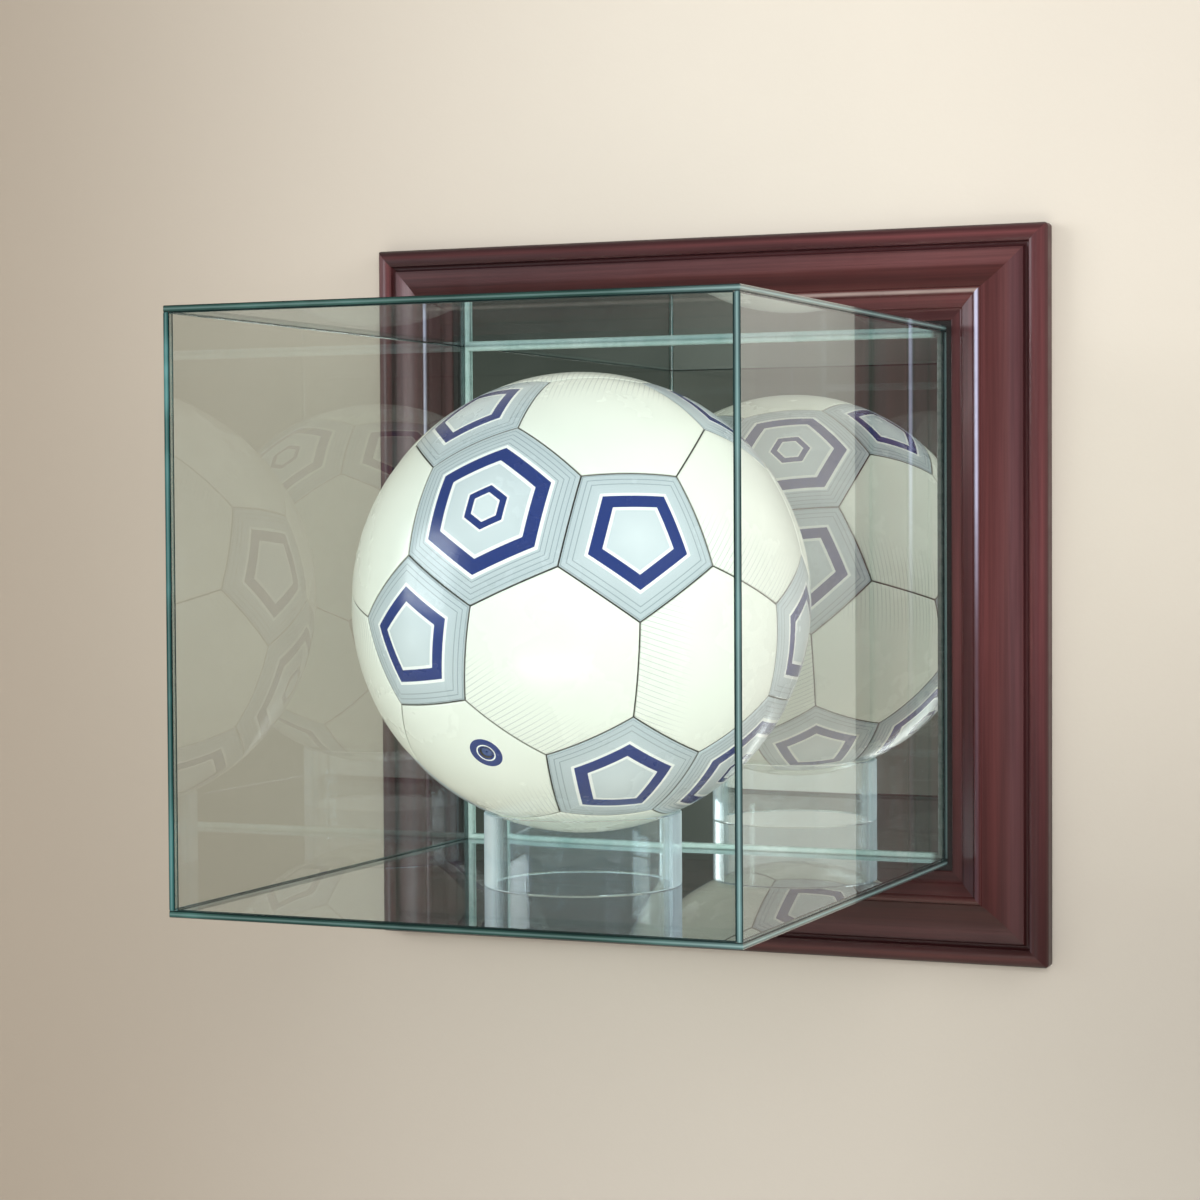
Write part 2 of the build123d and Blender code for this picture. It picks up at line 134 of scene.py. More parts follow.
def surface(tree, shader):
    put(tree, "ShaderNodeOutputMaterial", {"Surface": shader})


def finish(material, *names):
    for name in names:
        nodes[name].data.materials.clear()
        nodes[name].data.materials.append(material)


print("wood")
wood = {
    "dark": tone(62, 32, 33),
    "middle": tone(87, 45, 46),
    "light": tone(107, 58, 57),
    "paintedHighlightAcross": tone(186, 168, 160),
    "paintedHighlightUpright": tone(196, 196, 224),
    "footShade": (0.48, 0.40, 0.37, 1),
    "paintedShadeToLeft": (-0.17, 0.12, 0.72, 1.0),
    "halfFrame": 0.1885,
    "railWidth": 0.0484,
    "crestFrom": -0.012,
    "backShade": (0.80, 0.80, 0.82, 1),
    "crest": 0.70,
    "crestHalf": 0.0023,
    "crestRound": 0.0045,
    "paintedShadingAcross": [
        (0.0, (0.42, 0.42, 0.5)),
        (0.05, (0.8, 0.8, 0.86)),
        (0.09, (1.6, 1.65, 1.65)),
        (0.13, (0.95, 0.95, 0.95)),
        (0.195, (0.62, 0.6, 0.64)),
        (0.25, (0.66, 0.66, 0.7)),
        (0.28, (1.2, 1.5, 1.5)),
        (0.40, (1.12, 1.35, 1.35)),
        (0.44, (0.72, 0.66, 0.6)),
        (0.64, (0.72, 0.66, 0.58)),
        (0.78, (1.1, 1.12, 1.12)),
        (0.88, (0.86, 0.84, 0.84)),
        (0.93, (0.55, 0.53, 0.53)),
        (1.0, (1.0, 1.05, 1.02)),
    ],
    "paintedShadingUpright": [
        (0.0, (0.5, 0.48, 0.55)),
        (0.05, (1.1, 1.2, 1.26)),
        (0.11, (0.95, 1.0, 1.08)),
        (0.165, (1.2, 1.3, 1.36)),
        (0.195, (0.62, 0.6, 0.64)),
        (0.235, (0.66, 0.64, 0.68)),
        (0.29, (1.0, 1.2, 1.34)),
        (0.37, (1.08, 1.36, 1.5)),
        (0.42, (1.02, 1.15, 1.16)),
        (0.60, (1.15, 1.15, 1.12)),
        (0.76, (0.98, 1.1, 1.2)),
        (0.86, (0.72, 0.72, 0.74)),
        (0.93, (0.95, 1.0, 1.02)),
        (1.0, (0.66, 0.7, 0.7)),
    ],
}


def makeCherry(name, along):
    material, tree = startMaterial(name)
    place = put(tree, "ShaderNodeTexCoord").outputs["Object"]
    stretch = (1.6, 70, 70) if along == "X" else (70, 70, 1.6)
    fine = (9, 620, 620) if along == "X" else (620, 620, 9)
    long = put(tree, "ShaderNodeMapping", {"Vector": place, "Scale": stretch}).outputs[0]
    pores = put(tree, "ShaderNodeMapping", {"Vector": place, "Scale": fine}).outputs[0]
    figure = noise(tree, long, 1.0, 4.0, 0.55, 0.12)
    streak = noise(tree, pores, 1.0, 3.0, 0.6)
    colour = ramp(
        tree,
        figure,
        [(0.28, wood["dark"]), (0.5, wood["middle"]), (0.74, wood["light"])],
    )
    lines = spread(tree, streak, 0.38, 0.60, 0.78, 1.0)
    colour = blendColour(tree, 1.0, colour, lines, "MULTIPLY")
    across = put(tree, "ShaderNodeSeparateXYZ", {0: place})
    if along == "X":
        # painted shade: the top and bottom rails darken towards the left
        paintedShadeToLeft = spread(tree, across.outputs[0], *wood["paintedShadeToLeft"])
        colour = blendColour(tree, 1.0, colour, paintedShadeToLeft, "MULTIPLY")
        reach = calc(tree, "ABSOLUTE", calc(tree, "SUBTRACT", across.outputs[2], caseMiddle))
    else:
        reach = calc(tree, "ABSOLUTE", across.outputs[0])
    inward = calc(tree, "DIVIDE", calc(tree, "SUBTRACT", wood["halfFrame"], reach), wood["railWidth"])
    paintedShading = ramp(tree, inward, wood["paintedShadingAcross" if along == "X" else "paintedShadingUpright"])
    # painted light and shade across the moulding's section, with some colour of its own: a darker outer edge
    # and groove, a lighter bead and bands. It goes on the faces seen from the front, and the flat back is
    # plain
    geometry = put(tree, "ShaderNodeNewGeometry")
    normal = put(tree, "ShaderNodeSeparateXYZ", {0: geometry.outputs["True Normal"]})
    paintedShading = blendColour(tree, calc(tree, "GREATER_THAN", normal.outputs[1], 0.5), paintedShading, wood["backShade"])
    colour = blendColour(tree, 1.0, colour, paintedShading, "MULTIPLY")
    wear = noise(tree, place, 55.0, 4.0, 0.6)
    fromCrest = calc(tree, "ABSOLUTE", calc(tree, "SUBTRACT", inward, wood["crest"]))
    fromCrest = calc(tree, "MULTIPLY", fromCrest, wood["railWidth"])
    # painted highlight along the crest: a pale band that is brighter towards the top and bluish on the
    # stiles
    highlightToHead = spread(tree, across.outputs[2], -0.20, -0.08, 0.08, 0.6 if along == "X" else 0.95, smooth=True)
    paintedCrestHighlight = calc(tree, "MULTIPLY", highlightToHead, spread(tree, wear, 0.3, 0.7, 0.75, 1.0))
    paintedCrestHighlight = spread(tree, fromCrest, 0.0002, 0.0015, paintedCrestHighlight, 0.0, smooth=True)
    raised = calc(tree, "LESS_THAN", across.outputs[1], wood["crestFrom"])
    paintedCrestHighlight = calc(tree, "MULTIPLY", paintedCrestHighlight, raised)
    colour = blendColour(tree, paintedCrestHighlight, colour, wood["paintedHighlightAcross" if along == "X" else "paintedHighlightUpright"])
    # painted shade: the whole frame darkens towards its foot
    toFoot = spread(tree, across.outputs[2], -0.345, -0.19, 1.0, 0.0)
    colour = blendColour(tree, toFoot, colour, wood["footShade"], "MULTIPLY")
    rough = spread(tree, wear, 0.3, 0.7, 0.36, 0.52)
    # the crest is rubbed smoother than the rest
    polish = calc(tree, "LESS_THAN", fromCrest, wood["crestHalf"])
    rough = calc(tree, "MULTIPLY", rough, calc(tree, "SUBTRACT", 1.0, calc(tree, "MULTIPLY", polish, 0.55)))
    height = calc(tree, "ADD", calc(tree, "MULTIPLY", figure, 0.4), streak)
    fall = calc(tree, "POWER", calc(tree, "MINIMUM", fromCrest, wood["crestHalf"]), 2.0)
    fall = calc(tree, "MULTIPLY", calc(tree, "DIVIDE", fall, -2.0 * wood["crestRound"]), raised)
    rounded = {"Height": fall, "Strength": 1.0, "Distance": 1.0, "Normal": bump(tree, height, 0.12, 0.0001)}
    shader = put(
        tree,
        "ShaderNodeBsdfPrincipled",
        {
            "Base Color": colour,
            "Roughness": rough,
            "Specular IOR Level": 0.35,
            "Coat Weight": 0.12,
            "Coat Roughness": 0.2,
            "Normal": put(tree, "ShaderNodeBump", rounded).outputs[0],
        },
    )
    surface(tree, shader.outputs[0])
    return material


finish(makeCherry("cherryAcross", "X"), "frame_top_rail", "frame_bottom_rail")
finish(makeCherry("cherryUpright", "Z"), "frame_left_stile", "frame_right_stile")

print("glass")
glass = {
    "tint": (0.974, 0.990, 0.984, 1),
    "deepTint": (0.89, 0.905, 0.885, 1),
    "sheen": (0.93, 0.96, 1.0, 1),
    "edgeDark": tone(20, 46, 44),
    "edgeMiddle": tone(40, 82, 80),
    "edgeLight": tone(82, 136, 136),
    "paintedLightEdge": tone(92, 110, 112),
    "levelDark": tone(26, 48, 44),
    "levelMiddle": tone(46, 74, 68),
    "levelLight": tone(76, 118, 111),
    "arris": tone(16, 34, 33),
    "core": tone(158, 190, 188),
    "film": 0.012,
    "dust": (0.85, 0.88, 0.85, 1),
    "paintedLightRightward": (0.08, 0.137, 0.0, 0.6),
    "coreReach": (0.1, 0.42),
    "arrisReach": (0.62, 0.8, 0.0, 0.85),
    "edgeIndex": 1.52,
}


def makePane(name, axis, ior, tint, *panes):
    material, tree = startMaterial(name)
    index = "XYZ".index(axis)
    reach = [abs(corner[index] - (0, 0, caseMiddle)[index]) for corner in nodes[panes[0]].bound_box]
    geometry = put(tree, "ShaderNodeNewGeometry")
    normal = put(tree, "ShaderNodeSeparateXYZ", {0: geometry.outputs["True Normal"]})
    flat = calc(tree, "GREATER_THAN", calc(tree, "ABSOLUTE", normal.outputs[index]), 0.9)
    # both faces of the pane together throw back 2r / (1 + r), counted once on the face that is met first
    single = put(tree, "ShaderNodeFresnel", {"IOR": ior}).outputs[0]
    double = calc(tree, "DIVIDE", calc(tree, "MULTIPLY", single, 2.0), calc(tree, "ADD", single, 1.0))
    front = calc(tree, "SUBTRACT", 1.0, geometry.outputs["Backfacing"])
    gloss = calc(tree, "MULTIPLY", double, front)
    clear = put(tree, "ShaderNodeBsdfTransparent", {"Color": tint})
    mirrorLike = put(tree, "ShaderNodeBsdfAnisotropic", {"Color": glass["sheen"], "Roughness": 0.0})
    body = put(tree, "ShaderNodeMixShader", {0: gloss, 1: clear.outputs[0], 2: mirrorLike.outputs[0]})
    place = objectPlace(tree)
    smear = noise(tree, place, 9.0, 5.0, 0.65, 0.8)
    film = calc(tree, "MULTIPLY", spread(tree, smear, 0.45, 0.8, 0.1, 1.0), glass["film"])
    dust = put(tree, "ShaderNodeBsdfDiffuse", {"Color": glass["dust"]})
    body = put(
        tree,
        "ShaderNodeMixShader",
        {0: calc(tree, "MULTIPLY", film, front), 1: body.outputs[0], 2: dust.outputs[0]},
    )
    stripes = noise(tree, place, 11.0, 3.0, 0.6, 0.8)
    # painted shade: the top and bottom panes' edges take darker copies of the edge colours
    shades = "level" if axis == "Z" else "edge"
    edgeColour = ramp(
        tree,
        stripes,
        [(0.33, glass[shades + "Dark"]), (0.54, glass[shades + "Middle"]), (0.74, glass[shades + "Light"])],
    )
    parts = put(tree, "ShaderNodeSeparateXYZ", {0: place})
    # painted light: the glass edges turn paler towards the right
    paintedShadingRightward = spread(tree, parts.outputs[0], *glass["paintedLightRightward"])
    edgeColour = blendColour(tree, paintedShadingRightward, edgeColour, glass["paintedLightEdge"])
    # painted light and shade across the thickness: a pale core between two dark corners
    through = calc(tree, "ABSOLUTE", calc(tree, "SUBTRACT", parts.outputs[index], (0, 0, caseMiddle)[index]))
    through = spread(tree, through, min(reach), max(reach), -1.0, 1.0)
    through = calc(tree, "ABSOLUTE", through)
    paleness = calc(tree, "ADD", calc(tree, "MULTIPLY", paintedShadingRightward, 0.4), 0.2)
    core = spread(tree, through, *glass["coreReach"], paleness, 0.0, smooth=True)
    edgeColour = blendColour(tree, core, edgeColour, glass["core"])
    corner = spread(tree, through, *glass["arrisReach"])
    edgeColour = blendColour(tree, corner, edgeColour, glass["arris"])
    edge = put(
        tree,
        "ShaderNodeBsdfPrincipled",
        {
            "Base Color": edgeColour,
            "Roughness": spread(tree, smear, 0.3, 0.8, 0.04, 0.2),
            "IOR": glass["edgeIndex"],
            "Coat Weight": 0.5,
            "Coat Roughness": 0.05,
            "Normal": bump(tree, noise(tree, place, 900.0, 2.0), 0.08, 0.0001),
        },
    )
    shader = put(tree, "ShaderNodeMixShader", {0: flat, 1: edge.outputs[0], 2: body.outputs[0]})
    surface(tree, shader.outputs[0])
    finish(material, *panes)


makePane("paneLeft", "X", 1.36, glass["deepTint"], "left_glass")
makePane("paneRight", "X", 1.5, glass["tint"], "right_glass")
makePane("paneFront", "Y", 1.46, glass["tint"], "front_glass")
makePane("paneLevel", "Z", 1.46, glass["tint"], "top_glass", "bottom_glass")

print("mirror and door")
mirror = {"silver": (0.945, 0.985, 0.965, 1), "paint": tone(92, 98, 100), "edge": tone(52, 118, 108)}
material, tree = startMaterial("mirrorGlass")
geometry = put(tree, "ShaderNodeNewGeometry")
normal = put(tree, "ShaderNodeSeparateXYZ", {0: geometry.outputs["True Normal"]})
place = objectPlace(tree)
haze = noise(tree, place, 6.0, 4.0, 0.6)
silver = put(
    tree,
    "ShaderNodeBsdfPrincipled",
    {"Base Color": mirror["silver"], "Metallic": 1.0, "Roughness": spread(tree, haze, 0.3, 0.8, 0.0, 0.012)},
)
paintSpeckle = noise(tree, place, 400.0, 3.0)
paint = put(
    tree,
    "ShaderNodeBsdfPrincipled",
    {
        "Base Color": ramp(tree, paintSpeckle, [(0.3, tone(78, 84, 86)), (0.7, mirror["paint"])]),
        "Roughness": 0.55,
        "Normal": bump(tree, paintSpeckle, 0.3, 0.0002),
    },
)
edge = put(
    tree,
    "ShaderNodeBsdfPrincipled",
    {
        "Base Color": ramp(tree, haze, [(0.3, glass["edgeDark"]), (0.7, mirror["edge"])]),
        "Roughness": 0.12,
        "Coat Weight": 0.4,
    },
)
isFront = calc(tree, "LESS_THAN", normal.outputs[1], -0.9)
isBack = calc(tree, "GREATER_THAN", normal.outputs[1], 0.9)
shader = put(tree, "ShaderNodeMixShader", {0: isBack, 1: edge.outputs[0], 2: paint.outputs[0]})
shader = put(tree, "ShaderNodeMixShader", {0: isFront, 1: shader.outputs[0], 2: silver.outputs[0]})
surface(tree, shader.outputs[0])
finish(material, "mirror")

material, tree = startMaterial("hardboard")
place = objectPlace(tree)
fibre = noise(tree, place, 700.0, 4.0, 0.7)
cloud = noise(tree, place, 22.0, 3.0)
colour = ramp(tree, fibre, [(0.3, tone(74, 48, 30)), (0.55, tone(112, 78, 50)), (0.8, tone(146, 110, 76))])
colour = blendColour(tree, 1.0, colour, spread(tree, cloud, 0.3, 0.7, 0.82, 1.06), "MULTIPLY")
shader = put(
    tree,
    "ShaderNodeBsdfPrincipled",
    {"Base Color": colour, "Roughness": 0.72, "Normal": bump(tree, fibre, 0.35, 0.0003)},
)
surface(tree, shader.outputs[0])
finish(material, "backing_board")

print("metal, liner and seal")


def makeMetal(name, dark, light, scratch, rough):
    material, tree = startMaterial(name)
    place = objectPlace(tree, (1, 1, scratch))
    brushed = noise(tree, place, 160.0, 4.0, 0.65)
    spots = noise(tree, objectPlace(tree), 240.0, 3.0)
    colour = ramp(tree, brushed, [(0.3, dark), (0.7, light)])
    shader = put(
        tree,
        "ShaderNodeBsdfPrincipled",
        {
            "Base Color": colour,
            "Metallic": 1.0,
            "Roughness": spread(tree, spots, 0.3, 0.7, rough, rough + 0.16),
            "Normal": bump(tree, brushed, 0.12, 0.0001),
        },
    )
    surface(tree, shader.outputs[0])
    return material


steel = makeMetal("steel", tone(150, 152, 154), tone(196, 198, 200), 9, 0.26)
brass = makeMetal("brass", tone(176, 142, 78), tone(222, 190, 122), 9, 0.22)
nickel = makeMetal("nickel", tone(168, 168, 166), tone(210, 210, 206), 3, 0.18)
finish(steel, "corner_nails", "hanger_plates", "hanger_screws", "catch_discs", "hinge_pins")
finish(brass, "hinge_frame_leaves", "hinge_frame_screws", "hinge_door_leaves", "hinge_door_screws")
finish(nickel, "catch_magnets")

material, tree = startMaterial("linerFelt")
place = objectPlace(tree)
fuzz = noise(tree, place, 1500.0, 3.0, 0.7)
shader = put(
    tree,
    "ShaderNodeBsdfPrincipled",
    {
        "Base Color": ramp(tree, fuzz, [(0.3, tone(17, 14, 14)), (0.75, tone(44, 37, 37))]),
        "Roughness": 0.9,
        "Sheen Weight": 0.25,
        "Normal": bump(tree, fuzz, 0.5, 0.0003),
    },
)
surface(tree, shader.outputs[0])
finish(material, "glass_liner")

material, tree = startMaterial("siliconeSeal")
place = objectPlace(tree)
cloud = noise(tree, place, 30.0, 4.0, 0.6)
sealColour = ramp(tree, cloud, [(0.3, tone(160, 198, 192)), (0.7, tone(214, 236, 232))])
# painted shade: the seal strip on the right side is darkened
paintedShadingRightward = spread(tree, put(tree, "ShaderNodeSeparateXYZ", {0: place}).outputs[0], 0.128, 0.131, 0.0, 0.85)
shader = put(
    tree,
    "ShaderNodeBsdfPrincipled",
    {
        "Base Color": blendColour(tree, paintedShadingRightward, sealColour, tone(70, 86, 80)),
        "Roughness": spread(tree, noise(tree, place, 300.0), 0.3, 0.7, 0.16, 0.4),
        "Coat Weight": 0.3,
        "Coat Roughness": 0.1,
        "Normal": bump(tree, noise(tree, place, 120.0, 3.0), 0.2, 0.0003),
    },
)
surface(tree, shader.outputs[0])
finish(material, "dust_seal")

print("ring stand")
ring = {"tint": (0.92, 0.975, 0.99, 1), "ior": 1.49, "milk": 0.02, "paintedRimHighlight": 0.5}
material, tree = startMaterial("clearAcrylic")
place = objectPlace(tree, (1, 1, 0.05))
drawn = noise(tree, place, 60.0, 3.0)
fine = noise(tree, objectPlace(tree), 30.0, 4.0, 0.6)
refracting = put(
    tree,
    "ShaderNodeBsdfPrincipled",
    {
        "Base Color": ring["tint"],
        "Roughness": spread(tree, fine, 0.35, 0.75, 0.0, 0.06),
        "IOR": ring["ior"],
        "Transmission Weight": 1.0,
        "Normal": bump(tree, drawn, 0.08, 0.0006),
    },
)
lampPass = put(tree, "ShaderNodeBsdfTransparent", {"Color": (0.88, 0.93, 0.92, 1)})
path = put(tree, "ShaderNodeLightPath")
through = calc(tree, "MAXIMUM", path.outputs["Is Shadow Ray"], path.outputs["Is Diffuse Ray"])
# painted highlight: a pale diffuse layer on the rims seen edge-on stands in for the bright bands of light
# along the ring, over a faint haze elsewhere
facing = put(tree, "ShaderNodeLayerWeight", {"Blend": 0.35}).outputs["Facing"]
sheen = put(tree, "ShaderNodeBsdfDiffuse", {"Color": (0.74, 0.9, 1.0, 1)})
milk = spread(tree, facing, 0.3, 0.5, ring["milk"], ring["paintedRimHighlight"], smooth=True)
shader = put(tree, "ShaderNodeMixShader", {0: milk, 1: refracting.outputs[0], 2: sheen.outputs[0]})
shader = put(tree, "ShaderNodeMixShader", {0: through, 1: shader.outputs[0], 2: lampPass.outputs[0]})
surface(tree, shader.outputs[0])
finish(material, "ring_stand")

print("ball")
ball = {
    "radius": 0.110,
    "centre": (0.0, -0.165, -0.166134),
    "right": (0.9048, 0.1486, 0.3991),
    "back": (-0.1195, 0.9881, -0.0971),
    "innerRadius": 0.107,
    "seamGap": 0.00014,
    "seamRound": 0.0009,
    "crown": 0.0004,
    "crownReach": 0.006,
    "rings": 16,
    "rimSteps": (0.00025, 0.00040, 0.00060, 0.00088, 0.00125, 0.0019, 0.0034, 0.0062),
    "printedToward": (-0.060, -0.906, 0.438),
    "nextPrintedToward": (0.689, 0.633, -0.352),
    "valveToward": (-0.091, -0.796, -0.599),
    "valveBore": 0.0031,
    "boreSegments": 48,
    "boreDepth": 0.02,
}
centre = Vector(ball["centre"])
axisX = Vector(ball["right"]).normalized()
axisZ = axisX.cross(Vector(ball["back"])).normalized()
axisY = axisZ.cross(axisX)
turned = Matrix((axisX, axisY, axisZ)).transposed().to_4x4()

shell = bmesh.new()
golden = (1 + 5**0.5) / 2
for a in (1, -1):
    for b in (golden, -golden):
        for corner in ((0, a, b), (a, b, 0), (b, 0, a)):
            shell.verts.new(corner)
bmesh.ops.convex_hull(shell, input=shell.verts[:])
bmesh.ops.bevel(
    shell, geom=shell.verts[:], offset=100 / 3, offset_type="PERCENT", affect="VERTICES", segments=1,
    profile=0.5, material=-1,
)
bmesh.ops.recalc_face_normals(shell, faces=shell.faces[:])
reach = shell.verts[:][0].co.length
bmesh.ops.scale(shell, vec=(ball["radius"] / reach,) * 3, verts=shell.verts[:])
bmesh.ops.transform(shell, matrix=turned, verts=shell.verts[:])
bmesh.ops.split_edges(shell, edges=shell.edges[:])

# every panel: its middle, the directions across it, and the planes of its seams
panels = []
for face in shell.faces:
    middle = face.calc_center_median()
    corners = [v.co.copy() for v in face.verts]
    sides = []
    for i, corner in enumerate(corners):
        other = corners[(i + 1) % len(corners)]
        side = corner.cross(other).normalized()
        sides.append(side if side.dot(middle) > 0 else -side)
    panels.append({"middle": middle, "corners": corners, "sides": sides, "count": len(corners)})

directions = [panel["middle"].normalized() for panel in panels]
hexagons = [i for i, panel in enumerate(panels) if panel["count"] == 6]
pentagons = [i for i, panel in enumerate(panels) if panel["count"] == 5]
printed = [max(hexagons, key=lambda i: directions[i].dot(Vector(ball["printedToward"])))]
hexagons.sort(key=lambda i: -directions[i].dot(Vector(ball["nextPrintedToward"])))
for i in hexagons:  # four printed hexagons, as far apart as the corners of a tetrahedron
    if all(abs(directions[i].dot(directions[j]) + 1 / 3) < 0.01 for j in printed):
        printed.append(i)
valvePanel = max(hexagons, key=lambda i: directions[i].dot(Vector(ball["valveToward"])))
for i, panel in enumerate(panels):
    neighbours = printed if panel["count"] == 5 else pentagons
    nearest = max(neighbours, key=lambda j: directions[i].dot(directions[j]))
    toward = directions[nearest] - directions[i] * directions[i].dot(directions[nearest])
    panel["across"] = toward.normalized()
    panel["up"] = directions[i].cross(panel["across"])
    panel["kind"] = 0
    if i in printed:
        panel["kind"] = 1
    elif i == valvePanel:
        panel["kind"] = 2
print("printed hexagons", len(printed))

panelLayer = shell.verts.layers.int.new("panel")
bmesh.ops.poke(shell, faces=shell.faces[:])
bmesh.ops.subdivide_edges(shell, edges=shell.edges[:], cuts=ball["rings"] - 1, use_grid_fill=True)
# each panel is an island of its own, and takes the number of the panel that it lies on
known = {}
for start in shell.verts:
    if start in known:
        continue
    island = [start]
    known[start] = None
    for v in island:
        for e in v.link_edges:
            other = e.other_vert(v)
            if other not in known:
                known[other] = None
                island.append(other)
    whole = sum((v.co for v in island), Vector()) / len(island)
    number = max(range(len(panels)), key=lambda i: whole.normalized().dot(directions[i]))
    for v in island:
        known[v] = number
for v, number in known.items():
    v[panelLayer] = number

placeLayer = shell.verts.layers.float_vector.new("place")
seamLayer = shell.verts.layers.float.new("fromSeam")
for v in shell.verts:
    panel = panels[v[panelLayer]]
    middle = panel["middle"]
    offset = v.co - middle
    apothem = (0.5 * (panel["corners"][0] + panel["corners"][1]) - middle).length
    share = 0.0
    for i, corner in enumerate(panel["corners"]):
        outward = 0.5 * (corner + panel["corners"][(i + 1) % panel["count"]]) - middle
        share = max(share, offset.dot(outward) / apothem**2)
    step = round((1 - share) * ball["rings"])  # rings counted from the seam
    rim = ball["rimSteps"]
    if step < len(rim):
        newShare = 1 - rim[step] / apothem
    else:
        newShare = (1 - rim[-1] / apothem) * (ball["rings"] - step) / (ball["rings"] - len(rim) + 1)
    if share > 0.001:
        offset = offset * (newShare / share)
    outer = (middle + offset).normalized()
    spanned = offset * (ball["radius"] / middle.length)
    v[placeLayer] = (spanned.dot(panel["across"]), spanned.dot(panel["up"]), 0)
    v.co = outer
    v[seamLayer] = min(math.asin(outer.dot(side)) for side in panel["sides"]) * ball["radius"]

extruded = bmesh.ops.extrude_face_region(shell, geom=shell.faces[:], use_keep_orig=True)
outerVerts = {g for g in extruded["geom"] if isinstance(g, bmesh.types.BMVert)}
for v in shell.verts:
    if v in outerVerts:
        away = min(max(v[seamLayer] - ball["seamGap"], 0), ball["seamRound"])
        drop = ball["seamRound"] - math.sqrt(ball["seamRound"] ** 2 - (ball["seamRound"] - away) ** 2)
        drop += ball["crown"] * math.exp(-v[seamLayer] / ball["crownReach"])
        v.co = centre + v.co * (ball["radius"] - drop)
    else:
        v.co = centre + v.co * ball["innerRadius"]
bmesh.ops.recalc_face_normals(shell, faces=shell.faces[:])
panelMap = shell.loops.layers.uv.new("panelMap")
for face in shell.faces:
    face.smooth = True
    face.material_index = panels[face.verts[0][panelLayer]]["kind"]
    for loop in face.loops:
        x, y, _ = loop.vert[placeLayer]
        loop[panelMap].uv = (x * 10, y * 10)  # one unit is 100 mm


def pieceFrom(shape, name):
    mesh = bpy.data.meshes.new(name)
    shape.to_mesh(mesh)
    shape.free()
    piece = bpy.data.objects.new(name, mesh)
    bpy.context.scene.collection.objects.link(piece)
    return piece


def keepPanels(name, sides):
    part = shell.copy()
    layer = part.verts.layers.int["panel"]
    extra = [f for f in part.faces if panels[f.verts[0][layer]]["count"] != sides]
    bmesh.ops.delete(part, geom=extra, context="FACES")
    return pieceFrom(part, name)


hexagonPanels = keepPanels("hexagonPanels", 6)
pentagonPanels = keepPanels("pentagonPanels", 5)
shell.free()

toward = Vector(ball["valveToward"]).normalized()
cutter = bmesh.new()
bmesh.ops.create_cone(
    cutter, cap_ends=True, segments=ball["boreSegments"], radius1=ball["valveBore"],
    radius2=ball["valveBore"], depth=ball["boreDepth"],
)
turn = toward.to_track_quat("Z", "Y").to_matrix().to_4x4()
bmesh.ops.transform(
    cutter,
    matrix=Matrix.Translation(centre + toward * ball["radius"]) @ turn,
    verts=cutter.verts[:],
)
cutterPiece = pieceFrom(cutter, "valveCutter")
bore = hexagonPanels.modifiers.new("bore", "BOOLEAN")
bore.operation = "DIFFERENCE"
bore.solver = "EXACT"
bore.object = cutterPiece
bpy.context.view_layer.update()
bored = bpy.data.meshes.new_from_object(
    hexagonPanels.evaluated_get(bpy.context.evaluated_depsgraph_get())
)
hexagonPanels.modifiers.clear()
hexagonPanels.data = bored
bored.name = "hexagonPanels"
bpy.data.objects.remove(cutterPiece)

print("ball finish")
skin = {
    "white": tone(240, 246, 236),
    "silver": tone(186, 200, 205),
    "silverLight": tone(214, 226, 229),
    "navy": tone(38, 58, 122),
    "keyline": tone(244, 249, 246),
    "hatch": tone(138, 152, 158),
    "seam": tone(104, 99, 88),
    "hexagonRings": [(25.0, 3.4), (8.0, 1.6)],
    "hexagonKeylines": [(25.0, 5.2), (8.0, 2.6)],
    "pentagonRings": [(17.0, 2.9)],
    "pentagonKeylines": [(17.0, 4.4)],
    "hexagonReach": 38.4,
    "pentagonReach": 30.5,
    "pipingShare": 0.80,
    "whiteShade": tone(234, 241, 230),
    "pipingLine": 0.2,
    "pipingStrength": 0.7,
    "hatchPitch": 2.6,
    "hatchSlant": (0.34, 0.94),
    "hatchReach": (-30.0, -12.0),
    "hatchShare": 0.45,
    "fineLine": 0.14,
    "valveDisc": 8.4,
    "valveLine": (4.6, 0.35),
    "pebbleScale": 900.0,
    "pebbleShare": 0.35,
}


def distance(tree, x, y):
    return calc(tree, "SQRT", calc(tree, "ADD", calc(tree, "MULTIPLY", x, x), calc(tree, "MULTIPLY", y, y)))


def between(tree, value, middle, halfWidth):
    return calc(tree, "COMPARE", value, middle, halfWidth)


def finishSkin(tree, colour):
    fromSeam = put(tree, "ShaderNodeAttribute", attribute_name="fromSeam", attribute_type="GEOMETRY")
    seam = fromSeam.outputs["Fac"]
    dark = spread(tree, seam, 0.0001, 0.0006, 1.0, 0.0, smooth=True)
    colour = blendColour(tree, dark, colour, skin["seam"])
    place = objectPlace(tree)
    cells = put(tree, "ShaderNodeTexVoronoi", {"Vector": place, "Scale": skin["pebbleScale"]})
    pebble = cells.outputs["Distance"]
    soft = noise(tree, place, 26.0, 4.0, 0.6)
    grain = calc(tree, "ADD", calc(tree, "MULTIPLY", pebble, skin["pebbleShare"]), soft)
    shader = put(
        tree,
        "ShaderNodeBsdfPrincipled",
        {
            "Base Color": colour,
            "Roughness": spread(tree, soft, 0.3, 0.7, 0.2, 0.32),
            "IOR": 1.5,
            "Coat Weight": 0.3,
            "Coat Roughness": 0.12,
            "Normal": bump(tree, grain, 0.12, 0.0006),
        },
    )
    surface(tree, shader.outputs[0])


